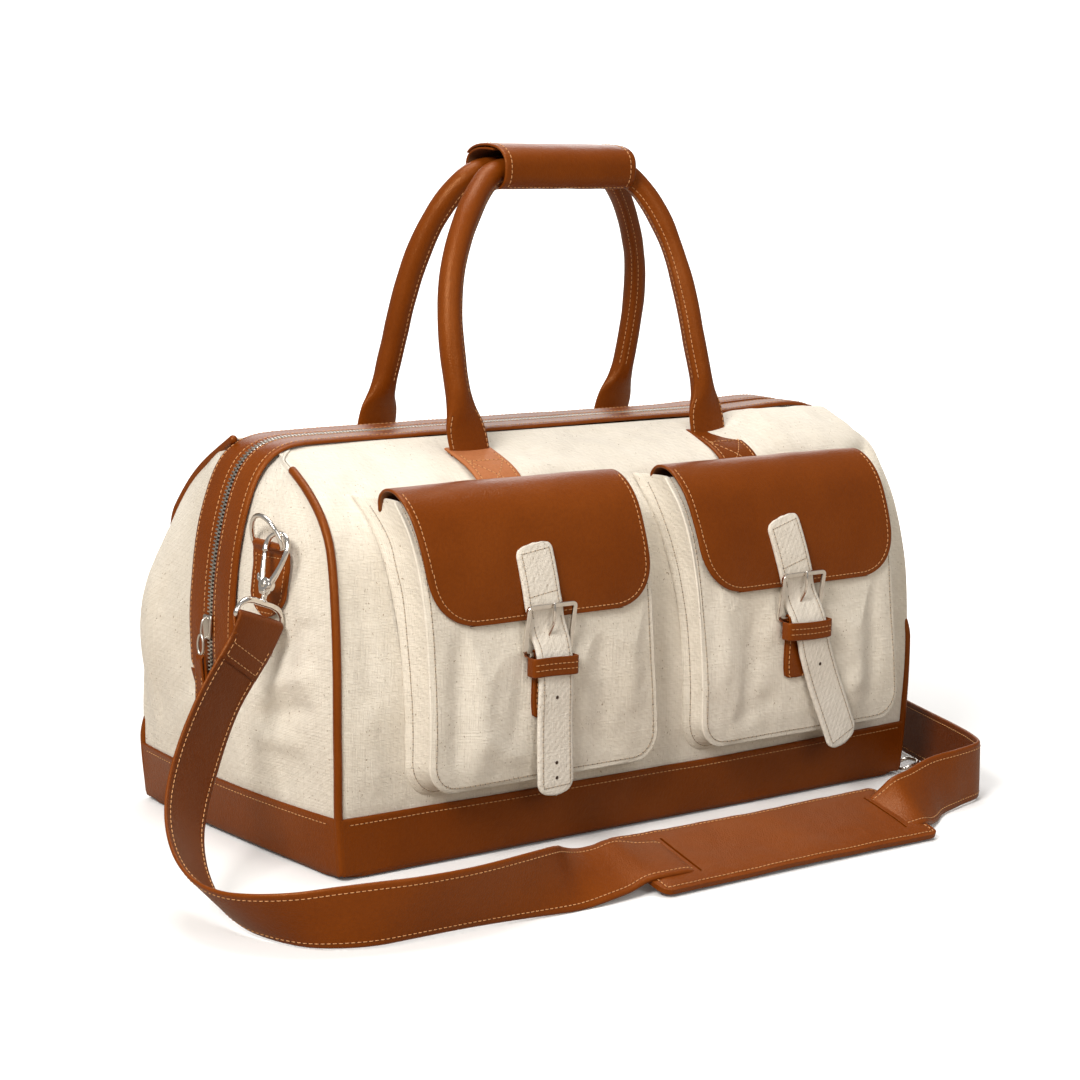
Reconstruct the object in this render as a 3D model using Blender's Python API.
"""Canvas and leather duffel bag: a hollow soft shell on a stiff base, two buckled pockets, a pair
of carry handles held together by a sleeve, and a clip-on shoulder strap threaded through a pad.

Frame: +X along the bag towards its right end, -Y towards the pocketed front, +Z up. The origin is
at the centre of the base, on the ground. Metres throughout.
"""

import math

import bmesh
import bpy
import numpy as np
from mathutils import Vector

for old in list(bpy.data.objects):
    bpy.data.objects.remove(old, do_unlink=True)

# ---------------------------------------------------------------- shared dimensions
LEFT, RIGHT = -1, 1        # sign of x
FRONT, BACK = -1, 1        # sign of y
ENDS = (("left", LEFT), ("right", RIGHT))
LONG_SIDES = (("front", FRONT), ("back", BACK))

GAP = 0.0004               # clearance between neighbouring pieces
CANVAS = 0.0018            # canvas thickness
LEATHER = 0.0018           # leather thickness
TRIM_TOP = 0.0400          # height of the leather base trim
BAND_HALF = 0.0255         # half width of the zip band
BAND_END_Z = 0.100         # where the zip band stops on the end panels
METAL_R = 0.0014           # wire radius of the buckles, D-rings, hooks and swivel loops

# half width of the bag (distance of the long panel from the middle plane), z
HALF_WIDTHS = {
    FRONT: [(0.1215, 0.000), (0.1215, 0.040), (0.1220, 0.075), (0.1212, 0.105),
            (0.1197, 0.135), (0.1170, 0.162), (0.1110, 0.190), (0.1030, 0.216),
            (0.0925, 0.234), (0.0740, 0.248), (0.0520, 0.258), (0.0255, 0.266)],
    BACK: [(0.1215, 0.000), (0.1230, 0.040), (0.1230, 0.070), (0.1200, 0.105),
           (0.1150, 0.135), (0.1085, 0.162), (0.0985, 0.190), (0.0845, 0.216),
           (0.0715, 0.234), (0.0560, 0.248), (0.0410, 0.258), (0.0255, 0.266)],
}
# half length of the bag at its corner seams, how far the end panel bellies out in its middle, z
END_PROFILE = [(0.252, 0.003, 0.000), (0.256, 0.008, 0.040), (0.2575, 0.0155, 0.100),
               (0.2565, 0.019, 0.160), (0.2535, 0.0185, 0.200), (0.2490, 0.0160, 0.235),
               (0.2450, 0.006, 0.266)]
BELLIES = {FRONT: 0.012, BACK: 0.008}   # how far the middle of each long panel stands out


# ---------------------------------------------------------------- materials
def material(name, color, roughness, metallic):
    made = bpy.data.materials.new(name)
    made.use_nodes = True
    inputs = made.node_tree.nodes["Principled BSDF"].inputs
    inputs["Base Color"].default_value = (*color, 1.0)
    inputs["Roughness"].default_value = roughness
    inputs["Metallic"].default_value = metallic
    return made


CANVAS_MAT = material("canvas", color=(0.83, 0.77, 0.66), roughness=0.95, metallic=0.0)
LEATHER_MAT = material("leather", color=(0.36, 0.105, 0.022), roughness=0.45, metallic=0.0)
NICKEL_MAT = material("nickel", color=(0.78, 0.74, 0.70), roughness=0.22, metallic=1.0)
BOARD_MAT = material("board", color=(0.30, 0.27, 0.24), roughness=0.85, metallic=0.0)
LINING_MAT = material("lining", color=(0.55, 0.47, 0.36), roughness=0.9, metallic=0.0)


# ---------------------------------------------------------------- building bodies
def add(name, verts, faces, mat, origin=(0, 0, 0)):
    """One closed body: verts in world metres, on an object whose origin is the given point."""
    mesh = bpy.data.meshes.new(name)
    bm = bmesh.new()
    base = Vector(origin)
    points = [bm.verts.new(Vector(v) - base) for v in verts]
    for face in faces:
        bm.faces.new([points[i] for i in face])
    bmesh.ops.remove_doubles(bm, verts=bm.verts, dist=1e-6)
    bmesh.ops.recalc_face_normals(bm, faces=bm.faces)
    if bm.calc_volume(signed=True) < 0:
        bmesh.ops.reverse_faces(bm, faces=bm.faces)
    bm.to_mesh(mesh)
    bm.free()
    mesh.shade_smooth()
    mesh.set_sharp_from_angle(angle=math.radians(40))
    mesh.materials.append(mat)
    obj = bpy.data.objects.new(name, mesh)
    obj.location = base
    bpy.context.scene.collection.objects.link(obj)


def shell(name, outer, inner, mat, hole=None, origin=(0, 0, 0)):
    """A sheet with thickness: two matching grids of points joined round every free edge.
    hole(row, column) is true for the grid cells to leave open."""
    outer, inner = np.asarray(outer, float), np.asarray(inner, float)
    rows, columns = outer.shape[:2]
    verts = [tuple(p) for p in np.concatenate([outer.reshape(-1, 3), inner.reshape(-1, 3)])]
    half, faces, edges = rows * columns, [], {}
    for i in range(rows - 1):
        for j in range(columns - 1):
            if hole is not None and hole(i, j):
                continue
            here, there = i * columns + j, (i + 1) * columns + j
            quad = [here, here + 1, there + 1, there]
            faces.append(quad)
            faces.append([half + k for k in reversed(quad)])
            for a, b in zip(quad, quad[1:] + quad[:1]):
                key = (min(a, b), max(a, b))
                edges[key] = None if key in edges else (a, b)
    for free_edge in edges.values():
        if free_edge:
            a, b = free_edge
            faces.append([b, a, half + a, half + b])
    used = sorted({k for face in faces for k in face})
    renumber = {k: i for i, k in enumerate(used)}
    add(name, [verts[k] for k in used], [[renumber[k] for k in face] for face in faces],
        mat, origin)


def sheet(name, grid, toward, above, thickness, mat, hole=None, origin=(0, 0, 0)):
    """A shell laid along a grid: its outer face stands above the grid on the side of toward."""
    grid = np.asarray(grid, float)
    normal = np.cross(np.gradient(grid, axis=0), np.gradient(grid, axis=1))
    normal /= np.maximum(np.linalg.norm(normal, axis=2, keepdims=True), 1e-12)
    if normal.sum(axis=(0, 1)) @ np.array(toward, float) < 0:
        normal = -normal
    shell(name, grid + normal * above, grid + normal * (above - thickness), mat, hole, origin)


def skin(name, rings, mat, closed=False, origin=(0, 0, 0)):
    """Joins equal rings of points in order, then caps the two ends or joins them to each other."""
    count, total = len(rings[0]), len(rings)
    faces = []
    for k in range(total if closed else total - 1):
        here, there = k * count, ((k + 1) % total) * count
        for i in range(count):
            j = (i + 1) % count
            faces.append([here + i, here + j, there + j, there + i])
    if not closed:
        faces.append(list(range(count))[::-1])
        faces.append([(total - 1) * count + i for i in range(count)])
    add(name, [point for ring in rings for point in ring], faces, mat, origin)


def sweep(name, frames, sections, mat, closed=False, origin=(0, 0, 0)):
    """Skins one section of (a, b) points at each frame of (centre, axis a, axis b)."""
    rings = [[tuple(centre + a * axis_a + b * axis_b) for a, b in section]
             for (centre, axis_a, axis_b), section in zip(frames, sections)]
    skin(name, rings, mat, closed, origin)


def ellipse(radius_a, radius_b, sides):
    angles = [2 * math.pi * i / sides for i in range(sides)]
    return [(radius_a * math.cos(a), radius_b * math.sin(a)) for a in angles]


def unit(vector):
    return vector / np.linalg.norm(vector)


def square_to(vector, axis):
    """The part of a vector square to a unit axis, at unit length."""
    return unit(vector - axis * (vector @ axis))


def wire(name, points, radius, mat, sides=6, closed=False, up=(0, 0, 1), origin=(0, 0, 0)):
    """A round bar along the points; its section's second axis leans towards up."""
    points = np.asarray(points, float)
    last = len(points) - 1
    frames = []
    for k, point in enumerate(points):
        if closed:
            tangent = unit(points[(k + 1) % len(points)] - points[k - 1])
        else:
            tangent = unit(points[min(k + 1, last)] - points[max(k - 1, 0)])
        across = unit(np.cross(tangent, up))
        frames.append((point, across, np.cross(across, tangent)))
    sweep(name, frames, [ellipse(radius, radius, sides)] * len(frames), mat, closed, origin)


def turn_angles(count):
    """Evenly spaced angles round a full turn."""
    return np.linspace(0, 2 * math.pi, count, endpoint=False)


def extended(points):
    """The points with one more mirrored past each end, as the curves below need."""
    return np.vstack([2 * points[0] - points[1], points, 2 * points[-1] - points[-2]])


def resampled_curve(points, count):
    """Uniform Catmull-Rom curve through the points, resampled at even spacing."""
    ends = extended(points)
    fine = []
    for i in range(1, len(ends) - 2):
        p0, p1, p2, p3 = ends[i - 1:i + 3]
        for t in np.linspace(0, 1, 12, endpoint=False):
            fine.append(0.5 * (2 * p1 + (p2 - p0) * t + (2 * p0 - 5 * p1 + 4 * p2 - p3) * t * t
                               + (3 * p1 - p0 - 3 * p2 + p3) * t ** 3))
    fine.append(points[-1])
    fine = np.array(fine)
    steps = np.linalg.norm(np.diff(fine[:, :3], axis=0), axis=1)
    reach = np.concatenate([[0], np.cumsum(steps)])
    want = np.linspace(0, reach[-1], count)
    return np.stack([np.interp(want, reach, column) for column in fine.T], axis=1)


def threaded_curve(points, pieces):
    """Centripetal Catmull-Rom curve through every point, with equal pieces between each two."""
    ends = extended(points)
    built = []
    for i in range(1, len(ends) - 2):
        p0, p1, p2, p3 = ends[i - 1:i + 3]
        gap01, gap12, gap23 = [max(np.linalg.norm((b - a)[:3]), 1e-6) ** 0.5
                               for a, b in ((p0, p1), (p1, p2), (p2, p3))]
        slope1 = (p2 - p1) + gap12 * ((p1 - p0) / gap01 - (p2 - p0) / (gap01 + gap12))
        slope2 = (p2 - p1) + gap12 * ((p3 - p2) / gap23 - (p3 - p1) / (gap12 + gap23))
        for t in np.linspace(0, 1, pieces, endpoint=False):
            built.append((2 * t ** 3 - 3 * t * t + 1) * p1 + (t ** 3 - 2 * t * t + t) * slope1
                         + (3 * t * t - 2 * t ** 3) * p2 + (t ** 3 - t * t) * slope2)
    built.append(points[-1])
    return np.array(built)


# ---------------------------------------------------------------- the bag's surface
def along(profile, z, column=0):
    """A profile's value at a height; the last column is z, rising."""
    return float(np.interp(z, [row[-1] for row in profile], [row[column] for row in profile]))


def half_width(side, z):
    return along(HALF_WIDTHS[side], z)


def half_length(z):
    return along(END_PROFILE, z)


def long_y(side, x, z):
    """y of the front or back face, bellied in its middle but not at corners, base and zip."""
    belly_top = 0.262
    lengthwise = max(0.0, 1 - (x / 0.25) ** 2)
    upward = math.sin(math.pi * min(max(z / belly_top, 0.0), 1.0)) ** 0.8
    return side * (half_width(side, z) + BELLIES[side] * lengthwise * upward)


def end_reach(y, z):
    """Distance of an end face from the bag's middle."""
    share = min(1.0, abs(y) / half_width(FRONT if y < 0 else BACK, z))
    return half_length(z) + along(END_PROFILE, z, 1) * (1 - share * share)


# ---------------------------------------------------------------- panels and base trim
EDGE = 0.0050              # how far a panel stops short of the corner seam, for the piping
TRIM_PROUD = 0.0006        # how far the trim stands out from the bag's surface
TRIM_ZS = [0.0070, 0.0230, TRIM_TOP]
PANEL_BOTTOM = TRIM_TOP + 2 * GAP
LONG_ZS = [PANEL_BOTTOM, 0.075, 0.105, 0.135, 0.162, 0.190, 0.216, 0.234, 0.248, 0.258]
LONG_TOP_Z = 0.2685        # top edge of a long panel, beside the zip band
LONG_TOP_CLEARANCE = 0.0016
END_ZS = [PANEL_BOTTOM, 0.07, BAND_END_Z - GAP, 0.13, 0.16, 0.19, 0.216, 0.236, 0.250, 0.2615]
LONG_SHARES = (-1, -0.8, -0.45, 0, 0.45, 0.8, 1)   # columns, as shares of the half length
END_SHARES = (0, 0.375, 0.75, 1)                   # columns, from the zip band to the corner


def long_row(side, z, y=None):
    """Points across a long panel at one height, on the bag's surface unless y is given."""
    xs = [share * (half_length(z) - EDGE) for share in LONG_SHARES]
    return [(x, long_y(side, x, z) if y is None else y, z) for x in xs]


def end_grid(side, heights, band_edge):
    rows = []
    for z in heights:
        front, back = [[band_edge + (half_width(long_side, z) - EDGE - band_edge) * share
                        for share in END_SHARES] for long_side in (FRONT, BACK)]
        ys = [-y for y in reversed(front)] + [0.0] + back
        rows.append([(side * end_reach(y, z), y, z) for y in ys])
    return rows


def long_panel(name, side):
    rows = [long_row(side, z) for z in LONG_ZS]
    rows.append(long_row(side, LONG_TOP_Z, side * (BAND_HALF + LONG_TOP_CLEARANCE)))
    sheet(name, rows, (0, side, 0), 0.0, CANVAS, CANVAS_MAT)


def end_panel(name, side):
    """Canvas end, open down its middle where the zip band comes down."""
    sheet(name, end_grid(side, END_ZS, BAND_HALF + GAP), (side, 0, 0), 0.0, CANVAS, CANVAS_MAT,
          hole=lambda row, column: row >= 2 and column in (3, 4))


def base_trim(name, grid, toward):
    sheet(name, grid, toward, TRIM_PROUD, LEATHER, LEATHER_MAT)


for side_name, side in LONG_SIDES:
    long_panel(side_name + "_panel", side)
    base_trim("base_trim_" + side_name, [long_row(side, z) for z in TRIM_ZS], (0, side, 0))
for side_name, side in ENDS:
    end_panel(side_name + "_end_panel", side)
    base_trim("base_trim_" + side_name, end_grid(side, TRIM_ZS, BAND_HALF), (side, 0, 0))

# ---------------------------------------------------------------- base, lining and piping
BASE_HALF_X, BASE_HALF_Y = 0.2490, 0.1175
BASE_PIPING_OUT = 0.0032   # how far the base piping's middle lies outside the base
BASE_PIPING_Z = 0.0036
BASE_PIPING_R = 0.0024
LINING_ZS = [0.0056, 0.04, 0.10, 0.16, 0.20, 0.228]
LINING_INSET = 0.0058      # outer face of the lining, in from the bag's surface
LINING_T = 0.0008
LINING_CORNER = 0.02
PIPING_R = 0.0026
PIPING_INSET = 0.0014
PIPING_ZS = (0.0085, 0.04, 0.08, 0.12, 0.155, 0.185, 0.208, 0.226, 0.240)
PIPING_TOP_Z = 0.2515
PIPING_TOP_DROP = 0.0005


def rounded_outline(half_x, front, back, z, corner, steps=3):
    """Level rectangle with rounded corners, reaching front and back from the middle plane."""
    points = []
    for sign_x, sign_y, start in ((1, 1, 0), (-1, 1, 90), (-1, -1, 180), (1, -1, 270)):
        reach = back if sign_y > 0 else front
        for i in range(steps + 1):
            angle = math.radians(start + 90 * i / steps)
            points.append((sign_x * (half_x - corner) + corner * math.cos(angle),
                           sign_y * (reach - corner) + corner * math.sin(angle), z))
    return points


def plate(name, half_x, half_y, low, high, corner, mat):
    skin(name, [rounded_outline(half_x, half_y, half_y, z, corner) for z in (low, high)], mat)


def base_piping():
    half_y = BASE_HALF_Y + BASE_PIPING_OUT
    path = rounded_outline(BASE_HALF_X + BASE_PIPING_OUT, half_y, half_y, BASE_PIPING_Z,
                           corner=0.018, steps=4)
    wire("base_piping", path, BASE_PIPING_R, LEATHER_MAT, closed=True)


def lining():
    """A thin open box just inside the panels: up its outer face, then down its inner one."""
    def ring(z, inset):
        return rounded_outline(half_length(z) - inset, half_width(FRONT, z) - inset,
                               half_width(BACK, z) - inset, z, LINING_CORNER)

    floor = LINING_ZS[0] + LINING_T
    outer = [ring(z, LINING_INSET) for z in LINING_ZS]
    inner = [ring(max(z, floor), LINING_INSET + LINING_T) for z in LINING_ZS]
    skin("lining", outer + inner[::-1], LINING_MAT)


def corner_piping(name, side_x, side_y):
    """Piping up a corner seam and in along the shoulder towards the zip."""
    def at(z, drop=0.0):
        return (side_x * (half_length(z) - PIPING_INSET),
                side_y * (half_width(side_y, z) - PIPING_INSET), z - drop)

    points = [at(z) for z in PIPING_ZS] + [at(PIPING_TOP_Z, PIPING_TOP_DROP)]
    wire(name, points, PIPING_R, LEATHER_MAT, up=(side_x, 0, 0))


# leather outside, then a stiff board
plate("base_leather", BASE_HALF_X, BASE_HALF_Y, low=0.0, high=0.0020, corner=0.016,
      mat=LEATHER_MAT)
plate("base_board", 0.2420, 0.1120, low=0.0024, high=0.0048, corner=0.014, mat=BOARD_MAT)
base_piping()
lining()
for long_name, long_side in LONG_SIDES:
    for end_name, end_side in ENDS:
        corner_piping(f"piping_{long_name}_{end_name}", end_side, long_side)

# ---------------------------------------------------------------- zip
# x, z of the zip band's right half, from its lower end to the middle of the bag
BAND_PATH = [(0.2738, BAND_END_Z), (0.2755, 0.130), (0.2760, 0.160), (0.2738, 0.190),
             (0.2692, 0.216), (0.2630, 0.238), (0.2555, 0.2545), (0.2450, 0.2645),
             (0.2310, 0.2690), (0.2050, 0.2698), (0.1100, 0.2700), (0.0, 0.2700)]
SLIDER = np.array([-0.2762, 0.0, 0.1480])
# z from the slider's middle, half width
SLIDER_SECTIONS = [(-0.0075, 0.0036), (0.0, 0.0044), (0.0070, 0.0050)]
SLIDER_INNER, SLIDER_OUTER = 0.0004, 0.0034      # its faces, outward from SLIDER
# x, y, z from the slider
BAIL_RUN = [(-0.0048, 0, 0.0060), (-0.0062, 0, 0.0020), (-0.0066, 0, -0.0040),
            (-0.0060, 0, -0.0085)]
PULL_HINGE = SLIDER + (-0.0066, 0, -0.0058)      # origin of the pull ring and tab
PULL_RING_CENTRE = SLIDER + (-0.0066, 0, -0.0120)
PULL_RING_HALF_Y, PULL_RING_HALF_Z = 0.0042, 0.0072
PULL_RING_DROP = 0.0010
PULL_RING_OUT = 0.0022     # outward shift of the ring's upper points
PULL_RING_LOW_SHARE = 0.6  # share of that shift for its lower points
# drop below the slider, half width, distance outward from it
TAB_ROWS = [(0.0215, 0.0030, 0.0060), (0.0260, 0.0050, 0.0058), (0.0450, 0.0055, 0.0052),
            (0.0740, 0.0055, 0.0048), (0.0790, 0.0035, 0.0048)]
TAB_T = 0.0030


def zip_strip(name, low_y, high_y, top, thickness, mat):
    """A strip that follows the zip over the bag, its outer face top above the band's path."""
    left = [(-x, 0, z) for x, z in BAND_PATH]
    right = [(x, 0, z) for x, z in reversed(BAND_PATH[:-1])]
    path = np.array(left + right, float)
    tangent = np.gradient(path, axis=0)
    out = np.stack([-tangent[:, 2], np.zeros(len(path)), tangent[:, 0]], axis=1)
    out /= np.linalg.norm(out, axis=1, keepdims=True)
    grid = np.array([[point + outward * top + np.array([0, y, 0]) for y in (low_y, high_y)]
                     for point, outward in zip(path, out)])
    shell(name, grid, grid - out[:, None, :] * thickness, mat)


def zip_slider():
    """Metal block on the left end, wider towards its top."""
    rings = []
    for dz, half in SLIDER_SECTIONS:
        corners = ((SLIDER_INNER, -half), (SLIDER_INNER, half),
                   (SLIDER_OUTER, half), (SLIDER_OUTER, -half))
        rings.append([SLIDER + (-out, y, dz) for out, y in corners])
    skin("zip_slider", rings, NICKEL_MAT, origin=SLIDER)


def zip_pull():
    """Bail on the slider, the ring hung from it, and the leather tab below."""
    wire("zip_bail", SLIDER + np.array(BAIL_RUN), 0.0009, NICKEL_MAT, up=(0, 1, 0))
    ring = []
    for angle in turn_angles(10):
        dz = PULL_RING_HALF_Z * math.cos(angle) - PULL_RING_DROP
        out = PULL_RING_OUT * (1 if dz > 0 else PULL_RING_LOW_SHARE)
        ring.append(PULL_RING_CENTRE + (-out, PULL_RING_HALF_Y * math.sin(angle), dz))
    wire("zip_pull_ring", ring, 0.0008, NICKEL_MAT, closed=True, up=(1, 0, 0),
         origin=PULL_HINGE)
    tab = np.array([[SLIDER + (-out, y, -drop) for y in (-half, half)]
                    for drop, half, out in TAB_ROWS])
    shell("zip_pull_tab", tab - np.array([TAB_T, 0, 0]), tab, LEATHER_MAT, origin=PULL_HINGE)


zip_strip("zip_band_front", -BAND_HALF, -0.0040, 0.0, LEATHER, LEATHER_MAT)
zip_strip("zip_band_rear", 0.0040, BAND_HALF, 0.0, LEATHER, LEATHER_MAT)
zip_strip("zip_tape", -0.0150, 0.0150, -LEATHER - GAP, 0.0008, LINING_MAT)
zip_strip("zip_teeth", -0.0028, 0.0028, -0.0002, LEATHER, NICKEL_MAT)
zip_slider()
zip_pull()

# ---------------------------------------------------------------- pockets and their flaps
POCKET_MIDDLES = {"left": -0.1112, "right": 0.1190}   # x at mid height
POCKET_SLANTS = {"left": -0.064, "right": -0.098}     # sideways lean, per metre of height
POCKET_MID_Z = 0.130
POCKET_HALF = 0.0940
POCKET_BOTTOM = 0.0545
POCKET_CORNER = 0.020
POCKET_T = 0.0016
POCKET_BULGE = 0.0020      # how far the front face's middle stands forward of its sides
POCKET_LIFT = 0.0012       # lowest wall row, above the pocket's bottom
POCKET_BOTTOM_INSET = 0.001  # the bottom's sides, in from the lowest wall row
POCKET_ZS = [0.2440, 0.234, 0.216, 0.190, 0.162, 0.135, 0.105, 0.0745, 0.062, 0.0565]
# y, z of the front face: it leans out from its mouth, then hangs straight
POCKET_FRONT = [(-0.1425, 0.050), (-0.1455, 0.065), (-0.1470, 0.10), (-0.1450, 0.165),
                (-0.1405, 0.20), (-0.1325, 0.225), (-0.1160, 0.246)]
# share of the half width, and whether the column lies against the bag's panel
POCKET_COLUMNS = [(-1, True), (-1, False), (-0.55, False), (0, False), (0.55, False),
                  (1, False), (1, True)]

FLAP_MIDDLES = {"left": -0.1205, "right": 0.1058}
FLAP_HALF = 0.0880
# share of the half width, y, z: from the sewn rear edge over the mouth and down the front
FLAP_RUN = [(1, -0.1010, 0.2345), (1, -0.1020, 0.2425), (1, -0.1070, 0.2475),
            (1, -0.1150, 0.2490), (1, -0.1265, 0.2450), (1, -0.1365, 0.2340),
            (1, -0.1440, 0.2130), (0.97, -0.1480, 0.1930), (0.83, -0.1498, 0.1740),
            (0.60, -0.1500, 0.1640)]
FLAP_FRONT = FLAP_RUN[:3:-1]   # the part down the front, from its tip up


def pocket_half(z, inset):
    """Half width of a pocket, rounded in at its lower corners."""
    radius = POCKET_CORNER - inset
    corner_z = POCKET_BOTTOM + inset + radius
    if z >= corner_z:
        return POCKET_HALF - inset
    return POCKET_HALF - inset - radius + math.sqrt(max(radius ** 2 - (corner_z - z) ** 2, 0.0))


def pocket_row(side_name, z, half, inset, all_on_panel=False):
    middle = POCKET_MIDDLES[side_name] + POCKET_SLANTS[side_name] * (z - POCKET_MID_Z)
    row = []
    for share, on_panel in POCKET_COLUMNS:
        x = middle + share * half
        if on_panel or all_on_panel:
            y = long_y(FRONT, x, z) - 2 * GAP
        else:
            y = along(POCKET_FRONT, z) + inset - POCKET_BULGE * (1 - share * share)
        row.append((x, y, z))
    return row


def pocket_grid(side_name, inset):
    """Walls from the mouth down, then the bottom running back to the panel."""
    bottom = POCKET_BOTTOM + inset
    heights = [max(z, bottom + POCKET_LIFT) for z in POCKET_ZS]
    rows = [pocket_row(side_name, z, pocket_half(z, inset), inset) for z in heights]
    half = pocket_half(bottom + POCKET_LIFT, inset) - POCKET_BOTTOM_INSET
    rows.append(pocket_row(side_name, bottom, half, inset))
    rows.append(pocket_row(side_name, bottom, half, inset, all_on_panel=True))
    return rows


def pocket(side_name):
    shell("pocket_" + side_name, pocket_grid(side_name, 0.0), pocket_grid(side_name, POCKET_T),
          CANVAS_MAT)


def pocket_flap(side_name):
    middle = FLAP_MIDDLES[side_name]
    grid = [[(middle + s * width * FLAP_HALF, y, z) for s in (-1, -0.5, 0, 0.5, 1)]
            for width, y, z in FLAP_RUN]
    sheet("pocket_flap_" + side_name, grid, (0, 0, 1), 0.0, LEATHER, LEATHER_MAT,
          origin=(middle, *FLAP_RUN[0][1:]))


# ---------------------------------------------------------------- closing straps and buckles
CLOSING_HALF = 0.0135
CLOSING_T = 0.0022
CLOSING_LIFT = 0.0007      # strap's rear face, forward of the flap's run
# x, z of the middle of each closing strap
CLOSING_MIDDLES = {
    "left": [(-0.1055, 0.045), (-0.1090, 0.112), (-0.1125, 0.150), (-0.1190, 0.175),
             (-0.1245, 0.212)],
    "right": [(0.1600, 0.045), (0.1255, 0.115), (0.1140, 0.150), (0.1065, 0.175),
              (0.0960, 0.212)],
}
# z, share of the half width, where the strap lies on the flap
CLOSING_ON_FLAP = [(0.2110, 0.7), (0.2050, 1), (0.1930, 1), (0.1780, 1), (0.1660, 1)]
CLOSING_PIVOT_ROW = 3      # the row that holds the strap's origin
# y, z, share of the half width, from below the flap to the tip
CLOSING_HANGING = [(-0.1519, 0.1605, 1), (-0.1534, 0.1545, 1), (-0.1550, 0.1500, 1),
                   (-0.1573, 0.1400, 1), (-0.1578, 0.1270, 1), (-0.1566, 0.1150, 1),
                   (-0.1546, 0.0900, 1), (-0.1537, 0.0600, 1), (-0.1536, 0.0450, 0.62)]
HOLE_Z = 0.1575            # middle of the strap's prong hole

BUCKLE_XS = {"left": -0.1145, "right": 0.1115}
BUCKLE_HALF = 0.0188
BAR_Y, BAR_Z = -0.1530, 0.1400                # lower bar
TOP_BAR_Y, TOP_BAR_Z = -0.1551, 0.1715
PRONG_R = 0.0009
# y, z of the prong beyond its first two points: through the hole and up over the top bar
PRONG_UPPER = [(-0.1514, 0.1555), (-0.1560, 0.1592), (-0.1583, 0.1650), (-0.1585, 0.1725)]

CHAPE_HALF = 0.0105
CHAPE_INNER_R, CHAPE_OUTER_R = 0.0019, 0.0030  # its roll about the lower bar
CHAPE_T = CHAPE_OUTER_R - CHAPE_INNER_R
CHAPE_COLUMNS = (-1, -0.26, 0.26, 1)
# y, z, share of the half width of the layer against the pocket, going up
CHAPE_REAR = [(-0.1495, 0.1000, 0.35), (-0.1496, 0.1040, 0.8), (-0.1498, 0.1100, 1),
              (-0.1499, 0.1340, 1)]
CHAPE_ROLL = (20, 65, 115, 160, 205)           # degrees round the bar, from the rear over the top
CHAPE_FRONT = [(-0.1553, 0.1345), (-0.1542, 0.1310), (-0.1536, 0.1180)]  # y, z, going down

KEEPER_Z = (0.1262, 0.1376)
KEEPER_REAR_Y, KEEPER_FRONT_Y = -0.1512, -0.1622
KEEPER_T = 0.0013
KEEPER_HALF = 0.0170       # before it widens for the strap's sideways offset


def closing_x(side_name, z):
    return along(CLOSING_MIDDLES[side_name], z)


def closing_strap(side_name):
    """Canvas strap from the flap's front, behind the buckle's top bar and down to its tip."""
    run = [(along(FLAP_FRONT, z, 1) - CLOSING_LIFT, z, width) for z, width in CLOSING_ON_FLAP]
    pivot_y, pivot_z, _ = run[CLOSING_PIVOT_ROW]
    run += CLOSING_HANGING
    rear = np.array([[(closing_x(side_name, z) + s * CLOSING_HALF * width, y, z)
                      for s in (-1, -0.17, 0.17, 1)] for y, z, width in run])
    shell("closing_strap_" + side_name, rear - np.array([0, CLOSING_T, 0]), rear, CANVAS_MAT,
          hole=lambda row, column: row == 5 and column == 1,
          origin=(FLAP_MIDDLES[side_name], pivot_y, pivot_z))


def buckle(side_name):
    """Square buckle frame whose lower bar sits in the chape, and its prong."""
    middle = BUCKLE_XS[side_name]
    pivot = np.array([middle, BAR_Y, BAR_Z])
    top = np.array([middle, TOP_BAR_Y, TOP_BAR_Z])
    across = np.array([1.0, 0, 0])
    half = across * BUCKLE_HALF
    corners = [pivot - half, pivot + half, top + half, top - half]
    points = []
    for start, stop in zip(corners, corners[1:] + corners[:1]):
        for t in (0.06, 0.94):
            points.append(start + (stop - start) * t)
    wire("buckle_frame_" + side_name, points, METAL_R, NICKEL_MAT, closed=True,
         up=np.cross(across, top - pivot), origin=pivot)
    # the prong stays behind the strap until its hole, then rests over the top bar
    hole_x = closing_x(side_name, HOLE_Z)
    prong = [(middle, -0.1530, 0.1428), ((middle + hole_x) / 2, -0.1519, 0.1500)]
    prong += [(hole_x, y, z) for y, z in PRONG_UPPER]
    wire("buckle_prong_" + side_name, prong, PRONG_R, NICKEL_MAT, sides=5, up=(1, 0, 0),
         origin=pivot)


def buckle_chape(side_name):
    """Leather tab on the pocket, rolled forward round the lower bar and slotted for the prong."""
    def row(y, z, width=1):
        return [(BUCKLE_XS[side_name] + s * width * CHAPE_HALF, y, z) for s in CHAPE_COLUMNS]

    def roll_row(radius, angle):
        return row(BAR_Y + math.cos(angle) * radius, BAR_Z + math.sin(angle) * radius)

    angles = [math.radians(degrees) for degrees in CHAPE_ROLL]
    outer = [row(y, z, width) for y, z, width in CHAPE_REAR]
    outer += [roll_row(CHAPE_OUTER_R, angle) for angle in angles]
    outer += [row(y, z) for y, z in CHAPE_FRONT]
    inner = [row(y - CHAPE_T, z, width) for y, z, width in CHAPE_REAR]
    inner += [roll_row(CHAPE_INNER_R, angle) for angle in angles]
    inner += [row(y + CHAPE_T, z) for y, z in CHAPE_FRONT]
    shell("buckle_chape_" + side_name, outer, inner, LEATHER_MAT,
          hole=lambda row, column: 3 <= row < 9 and column == 1)


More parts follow.
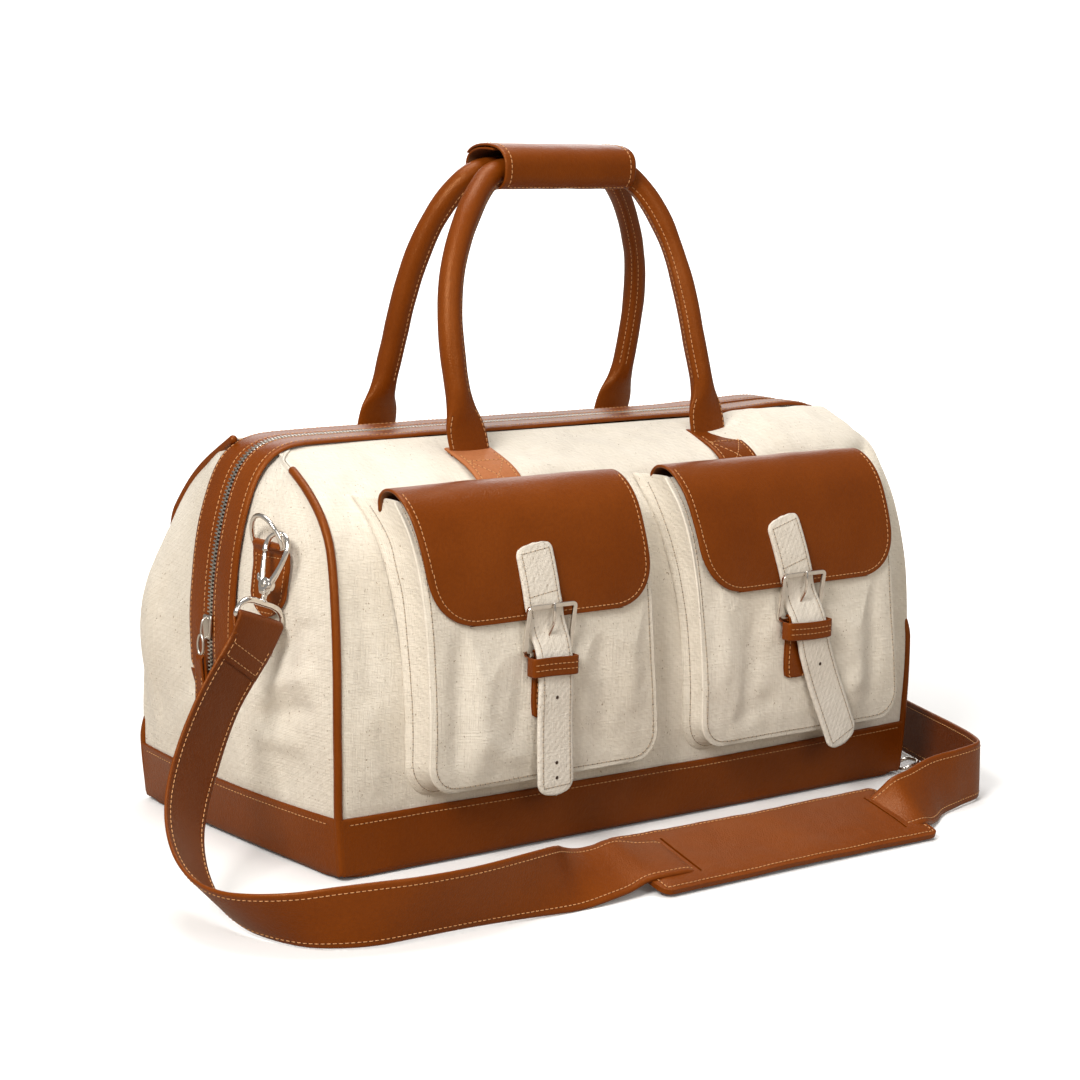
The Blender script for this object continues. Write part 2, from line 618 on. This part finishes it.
def buckle_keeper(side_name):
    """Leather loop that holds the strap's free end to the chape."""
    strap_x = closing_x(side_name, 0.132)
    middle = 0.4 * BUCKLE_XS[side_name] + 0.6 * strap_x
    half = KEEPER_HALF + 0.45 * abs(strap_x - BUCKLE_XS[side_name])

    def grid(inset):
        reach, front = half - inset, KEEPER_FRONT_Y + inset
        corners = [(middle - reach, KEEPER_REAR_Y), (middle - reach, front),
                   (middle + reach, front), (middle + reach, KEEPER_REAR_Y)]
        return [[(x, y, z) for x, y in corners] for z in KEEPER_Z]

    shell("buckle_keeper_" + side_name, grid(0.0), grid(KEEPER_T), LEATHER_MAT)


for side_name, _ in ENDS:
    pocket(side_name)
    pocket_flap(side_name)
    closing_strap(side_name)
    buckle(side_name)
    buckle_chape(side_name)
    buckle_keeper(side_name)

# ---------------------------------------------------------------- handles
HANDLE_R = 0.0095
FOOT_HALF_WIDE, FOOT_HALF_THICK = 0.0168, 0.0032   # section where the handle is flat
# half of the front handle from its foot to its middle: x, y, z, flatness of its section
HANDLE_RUN = [(0.1075, -0.0545, 0.2625, 1.0), (0.1083, -0.0540, 0.2720, 1.0),
              (0.1093, -0.0528, 0.2860, 0.55), (0.1095, -0.0505, 0.3020, 0.0),
              (0.1082, -0.0465, 0.3250, 0.0), (0.1062, -0.0410, 0.3520, 0.0),
              (0.1010, -0.0340, 0.3820, 0.0), (0.0925, -0.0265, 0.4050, 0.0),
              (0.0805, -0.0180, 0.4255, 0.0), (0.0705, -0.0125, 0.4372, 0.0),
              (0.0615, -0.0101, 0.4446, 0.0), (0.0520, -0.0099, 0.4472, 0.0),
              (0.0300, -0.0099, 0.4475, 0.0), (0.0, -0.0099, 0.4475, 0.0)]
FOOT_X, FOOT_Y, FOOT_Z = HANDLE_RUN[0][:3]
SWAY_RISE = 0.174          # height over which a handle leans sideways and comes back
PATCH_HALF = 0.0170
PATCH_LIFT, PATCH_T = 0.0026, 0.0016
PATCH_ZS = {FRONT: [0.2560, 0.2525, 0.2480, 0.2400, 0.2360],
            BACK: [0.2545, 0.2490, 0.2410, 0.2320, 0.2260]}

WRAP_HALF = 0.0575
WRAP_Z = 0.4475
WRAP_T = 0.0016
OVAL_POWER = 2.6           # 2 is an ellipse, higher is squarer


def handle(name, side, sway):
    """One handle, leaning sideways by sway at mid height, flat at its feet and round above."""
    right = np.array(HANDLE_RUN)
    left = right * np.array([-1, 1, 1, 1])
    run = np.vstack([left, right[::-1][1:]])
    run[:, 1] *= -side
    run = resampled_curve(run, 35)
    run[:, 0] += sway * np.sin(np.pi * np.clip((run[:, 2] - FOOT_Z) / SWAY_RISE, 0, 1))
    frames, sections = [], []
    for row, direction in zip(run, np.gradient(run[:, :3], axis=0)):
        tangent = unit(direction)
        depth = square_to(np.array([0, side, 0.0]), tangent)
        frames.append((row[:3], np.cross(depth, tangent), depth))
        flat = min(max(row[3], 0.0), 1.0)
        sections.append(ellipse(HANDLE_R * (1 - flat) + FOOT_HALF_WIDE * flat,
                                HANDLE_R * (1 - flat) + FOOT_HALF_THICK * flat, sides=8))
    sweep(name, frames, sections, LEATHER_MAT, origin=(0, -side * FOOT_Y, FOOT_Z))


def handle_patch(name, side, middle):
    """Leather patch by a handle's foot, down the shoulder of the long panel."""
    xs = (middle - PATCH_HALF, middle + PATCH_HALF)
    grid = [[(x, long_y(side, x, z), z) for x in xs] for z in PATCH_ZS[side]]
    sheet(name, grid, (0, 0, 1), PATCH_LIFT, PATCH_T, LEATHER_MAT)


def oval(degrees, half_y, half_z):
    """y, z on a rounded oval about the handles: 0 faces the front, 90 is the top, 180 the back."""
    c, s = math.cos(math.radians(degrees)), math.sin(math.radians(degrees))
    radius = (abs(c / half_y) ** OVAL_POWER + abs(s / half_z) ** OVAL_POWER) ** (-1 / OVAL_POWER)
    return -radius * c, WRAP_Z + radius * s


def sleeve(name, start, stop, steps, half_y, half_z, origin):
    """Leather round both handles between two angles; half_y and half_z are its inside."""
    def grid(out):
        run = [oval(degrees, half_y + out, half_z + out)
               for degrees in np.linspace(start, stop, steps)]
        return [[(s * WRAP_HALF, y, z) for s in (-1, 1)] for y, z in run]

    shell(name, grid(WRAP_T), grid(0.0), LEATHER_MAT, origin=origin)


handle("handle_front", FRONT, sway=-0.0100)
handle("handle_back", BACK, sway=0.0090)
for long_name, long_side in LONG_SIDES:
    for end_name, end_side in ENDS:
        handle_patch(f"handle_patch_{long_name}_{end_name}", long_side, end_side * FOOT_X)
sleeve("handle_wrap", 60, 318, steps=22, half_y=0.0207, half_z=0.0125, origin=(0, 0, WRAP_Z))
sleeve("handle_wrap_flap", -38, 152, steps=17, half_y=0.0228, half_z=0.0146,
       origin=(0, *oval(-52, 0.0236, 0.0154)))

# ---------------------------------------------------------------- D-rings and hooks
# all places are for the left end; the right end's pieces are turned half way round
RING_BAR = np.array([-0.2705, -0.0605, 0.2105])   # middle of the ring's bar
RING_HALF, RING_RISE = 0.0172, 0.0208
RING_LEAN = np.array([-0.30, 0.0, 0.954])         # the way the ring stands up from its bar
RING_FACE = np.array([0.954, 0.0, 0.30])          # square to the ring
# z, half width, thickness of the ring's chape
RING_CHAPE_ROWS = [(0.1660, 0.0060, 0.0016), (0.1745, 0.0140, 0.0016), (0.1925, 0.0155, 0.0018),
                   (0.2030, 0.0155, 0.0024), (0.2065, 0.0145, 0.0026)]

LOOP_BAR = np.array([-0.2897, -0.0790, 0.1664])   # middle of the swivel loop's bar
HOOK_DOWN = unit(np.array([-0.330, -0.085, -0.940]))  # the hook hangs this way
LOOP_ACROSS = square_to(np.array([0.930, 0.210, -0.345]), HOOK_DOWN)   # along the loop's bar
HOOK_ACROSS = square_to(np.array([0.174, -0.985, 0.0]), HOOK_DOWN)
HOOK_FACE = np.cross(HOOK_ACROSS, HOOK_DOWN)
RIVET = LOOP_BAR - HOOK_DOWN * 0.0236
# across and up from the rivet
HOOK_SEAT = (0.0030, 0.0260)                      # the hook's origin, where the ring bears
HOOK_RUN = [(0.0010, -0.0080), (0.0028, -0.0025), (0.0055, 0.0065), (0.0088, 0.0165),
            (0.0098, 0.0240), (0.0080, 0.0300), (0.0030, 0.0332), (-0.0030, 0.0332),
            (-0.0080, 0.0300), (-0.0093, 0.0255)]
GATE_RUN = [(-0.0030, -0.0045), (-0.0050, 0.0040), (-0.0089, 0.0215)]
GATE_R = 0.0012
# along the bar and down from its middle
LOOP_TOP = -0.0115
LOOP_RUN = [(0.0060, LOOP_TOP), (0.0190, -0.0085), (0.0212, -0.0020), (0.0205, 0.0),
            (-0.0205, 0.0), (-0.0212, -0.0020), (-0.0190, -0.0085), (-0.0060, LOOP_TOP)]


def turned(points, side):
    """Left-end points as they are, or put on the right end by a half turn about the vertical."""
    points = np.asarray(points, float)
    return points * np.array([-1, -1, 1]) if side == RIGHT else points


def dring_chape(side_name, side):
    """Leather tab on the end panel, thickening towards its top at the ring's bar."""
    outer, inner = [], []
    for z, half, thickness in RING_CHAPE_ROWS:
        ys = [RING_BAR[1] + s * half for s in (-1, 0, 1)]
        outer.append([(-end_reach(y, z) - GAP - thickness, y, z) for y in ys])
        inner.append([(-end_reach(y, z) - GAP, y, z) for y in ys])
    shell("dring_chape_" + side_name, turned(outer, side), turned(inner, side), LEATHER_MAT)


def end_wire(name, points, radius, face, side, origin, sides=6, closed=False):
    """A nickel wire given for the left end, lying in the plane square to face."""
    wire(name, turned(points, side), radius, NICKEL_MAT, sides, closed, turned(face, side),
         turned(origin, side))


def dring(side_name, side):
    points = [RING_BAR + np.array([0, RING_HALF * math.cos(angle), 0])
              + RING_LEAN * RING_RISE * math.sin(angle) for angle in np.linspace(0, math.pi, 11)]
    end_wire("dring_" + side_name, points, METAL_R, RING_FACE, side, RING_BAR, closed=True)


def from_rivet(across, up):
    return RIVET + HOOK_ACROSS * across - HOOK_DOWN * up


def snap_hook(side_name, side):
    """The hook and its gate."""
    hook = [from_rivet(*point) for point in HOOK_RUN]
    end_wire("snap_hook_" + side_name, hook, METAL_R, HOOK_FACE, side, from_rivet(*HOOK_SEAT))
    gate = [from_rivet(*point) for point in GATE_RUN]
    end_wire("snap_gate_" + side_name, gate, GATE_R, HOOK_FACE, side, gate[0], sides=5)


def swivel_loop(side_name, side):
    """Loop below the hook, whose bar carries the strap's end."""
    points = [LOOP_BAR + LOOP_ACROSS * across + HOOK_DOWN * down for across, down in LOOP_RUN]
    end_wire("swivel_loop_" + side_name, points, METAL_R, np.cross(LOOP_ACROSS, HOOK_DOWN),
             side, LOOP_BAR + HOOK_DOWN * LOOP_TOP, closed=True)


for side_name, side in ENDS:
    dring_chape(side_name, side)
    dring(side_name, side)
    snap_hook(side_name, side)
    swivel_loop(side_name, side)

# ---------------------------------------------------------------- shoulder strap and its pad
STRAP_W = 0.0400
STRAP_T = 0.0028
PAD_TILT = math.radians(15.5)    # the pad's rear edge is raised
PAD_Y, PAD_Z = -0.2330, 0.0125   # the pad's middle line
PAD_ACROSS = np.array([0, math.cos(PAD_TILT), math.sin(PAD_TILT)])
PAD_NORMAL = np.array([0, -math.sin(PAD_TILT), math.cos(PAD_TILT)])
PAD_LEFT, PAD_RIGHT, PAD_HALF = -0.1040, 0.1460, 0.0345
PAD_ORIGIN_X = 0.0270
PAD_HALF_T = 0.0015
PAD_END_SQUEEZE = 0.82           # the pad's width at its very ends
PAD_END_LENGTH = 0.006
SLOT_LEFT, SLOT_RIGHT, SLOT_HALF = -0.0640, 0.1240, 0.0215
SLOT_REACH = 0.0080              # half of a slot's opening along the pad

# The strap's lie: x, y, z of its middle line, then the direction across it (any length).
# From the left hook down to the ground and round to the pad:
LEFT_LIE = [
    (-0.2937, -0.0792, 0.1556, -0.85, -0.23, 0.45), (-0.3032, -0.0788, 0.1417, -0.78, -0.27, 0.56),
    (-0.3164, -0.0790, 0.1229, -0.76, -0.27, 0.59), (-0.3293, -0.0833, 0.1049, -0.76, -0.22, 0.61),
    (-0.3417, -0.0902, 0.0873, -0.765, -0.17, 0.62), (-0.3537, -0.0994, 0.0705, -0.76, -0.16, 0.63),
    (-0.3642, -0.1116, 0.0548, -0.76, -0.17, 0.63), (-0.3719, -0.1276, 0.0410, -0.76, -0.18, 0.62),
    (-0.3768, -0.1465, 0.0300, -0.755, -0.19, 0.63), (-0.3780, -0.1672, 0.0220, -0.715, -0.23, 0.66),
    (-0.3745, -0.1889, 0.0185, -0.63, -0.26, 0.73), (-0.3656, -0.2095, 0.0185, -0.50, -0.26, 0.82),
    (-0.3518, -0.2270, 0.0195, -0.355, -0.22, 0.91), (-0.3340, -0.2401, 0.0215, -0.215, -0.16, 0.96),
    (-0.3133, -0.2486, 0.0225, -0.11, -0.15, 0.98), (-0.2914, -0.2530, 0.0230, -0.05, -0.22, 0.97),
    (-0.2463, -0.2550, 0.0230, 0.01, -0.35, 0.935), (-0.2012, -0.2535, 0.0225, 0.08, -0.50, 0.86),
    (-0.1680, -0.2510, 0.0215, 0.08, -0.48, 0.87), (-0.1420, -0.2470, 0.0212, 0.05, -0.10, 0.99),
]
# From the pad round the right front corner and up to the right hook:
RIGHT_LIE = [
    (0.1900, -0.2180, 0.0218, 0.00, 0.25, 0.97), (0.2200, -0.2150, 0.0225, -0.02, 0.05, 1.0),
    (0.2480, -0.2070, 0.0228, -0.02, 0.02, 1.0), (0.2610, -0.1880, 0.0228, -0.02, 0.0, 1.0),
    (0.2740, -0.1580, 0.0228, -0.02, 0.0, 1.0), (0.2900, -0.1150, 0.0228, -0.03, 0.0, 1.0),
    (0.3100, -0.0640, 0.0228, -0.05, 0.0, 1.0), (0.3290, -0.0180, 0.0250, -0.05, 0.10, 0.99),
    (0.3430, 0.0200, 0.0400, 0.10, 0.25, 0.96), (0.3420, 0.0480, 0.0720, 0.35, 0.25, 0.90),
    (0.3290, 0.0680, 0.1060, 0.60, 0.25, 0.75), (0.3070, 0.0795, 0.1350, 0.85, 0.25, 0.10),
    (0.2937, 0.0792, 0.1556, 0.85, 0.23, -0.45),
]
OVER, UNDER = 0.0036, -0.0036    # strap's middle line above and below the pad's
# Along the pad, down through the left slot and up through the right one:
# x, height off the pad's middle plane, twist about x from the pad's tilt in radians
PAD_LIE = [
    (-0.1180, 0.0115, 0.75), (-0.0960, 0.0066, 0.08),
    (SLOT_LEFT - 0.0085, OVER, 0), (SLOT_LEFT - 0.0035, 0.0024, 0),
    (SLOT_LEFT + 0.0035, -0.0024, 0), (SLOT_LEFT + 0.0085, UNDER, 0),
    (-0.0100, UNDER, 0), (0.0280, UNDER, 0), (0.0700, UNDER, 0),
    (SLOT_RIGHT - 0.0085, UNDER, 0), (SLOT_RIGHT - 0.0035, -0.0024, 0),
    (SLOT_RIGHT + 0.0035, 0.0024, 0), (SLOT_RIGHT + 0.0085, OVER, 0),
    (0.1480, 0.0062, 0.15),
]


def on_pad(x, across, height):
    return np.array([x, PAD_Y, PAD_Z]) + PAD_ACROSS * across + PAD_NORMAL * height


def strap_stations():
    """The whole lie from hook to hook, with directions across it at unit length."""
    def tidy(lie):
        return [(*row[:3], *unit(np.array(row[3:]))) for row in lie]

    over_pad = []
    for x, height, twist in PAD_LIE:
        lean = PAD_TILT + twist
        over_pad.append((*on_pad(x, 0, height), 0.0, math.cos(lean), math.sin(lean)))
    return np.array(tidy(LEFT_LIE) + over_pad + tidy(RIGHT_LIE))


def shoulder_strap():
    run = threaded_curve(strap_stations(), pieces=2)
    frames = []
    for row, direction in zip(run, np.gradient(run[:, :3], axis=0)):
        tangent = unit(direction)
        across = square_to(row[3:], tangent)
        frames.append((row[:3], across, np.cross(tangent, across)))
    half, thick = STRAP_W / 2, STRAP_T / 2
    section = [(-half, -thick), (half, -thick), (half, thick), (-half, thick)]
    sweep("shoulder_strap", frames, [section] * len(frames), LEATHER_MAT)


def shoulder_pad():
    """Flat leather pad with a slot near each end for the strap."""
    xs = [PAD_LEFT, PAD_LEFT + PAD_END_LENGTH, SLOT_LEFT - SLOT_REACH, SLOT_LEFT + SLOT_REACH,
          -0.02, 0.028, 0.075, SLOT_RIGHT - SLOT_REACH, SLOT_RIGHT + SLOT_REACH,
          PAD_RIGHT - PAD_END_LENGTH, PAD_RIGHT]

    def grid(height):
        rows = []
        for x in xs:
            half = PAD_HALF * (PAD_END_SQUEEZE if x in (PAD_LEFT, PAD_RIGHT) else 1.0)
            rows.append([on_pad(x, across, height)
                         for across in (-half, -SLOT_HALF, SLOT_HALF, half)])
        return rows

    shell("shoulder_pad", grid(PAD_HALF_T), grid(-PAD_HALF_T), LEATHER_MAT,
          hole=lambda row, column: column == 1 and row in (2, 7),
          origin=on_pad(PAD_ORIGIN_X, 0, 0))


def strap_keeper_ring():
    """Small tilted metal ring by the right front corner, near the ground."""
    centre = np.array([0.2665, -0.1160, 0.0050])
    half_x, half_y, half_z = 0.0085, 0.0075, 0.0035
    skew, phase = 0.2, 0.6       # sideways shear, and where round the ring it is highest
    points = []
    for angle in turn_angles(10):
        dx = half_x * math.cos(angle)
        points.append(centre + (dx, half_y * math.sin(angle) - skew * dx,
                                half_z * math.sin(angle + phase)))
    wire("strap_keeper_ring", points, 0.0012, NICKEL_MAT, closed=True)


shoulder_strap()
shoulder_pad()
strap_keeper_ring()
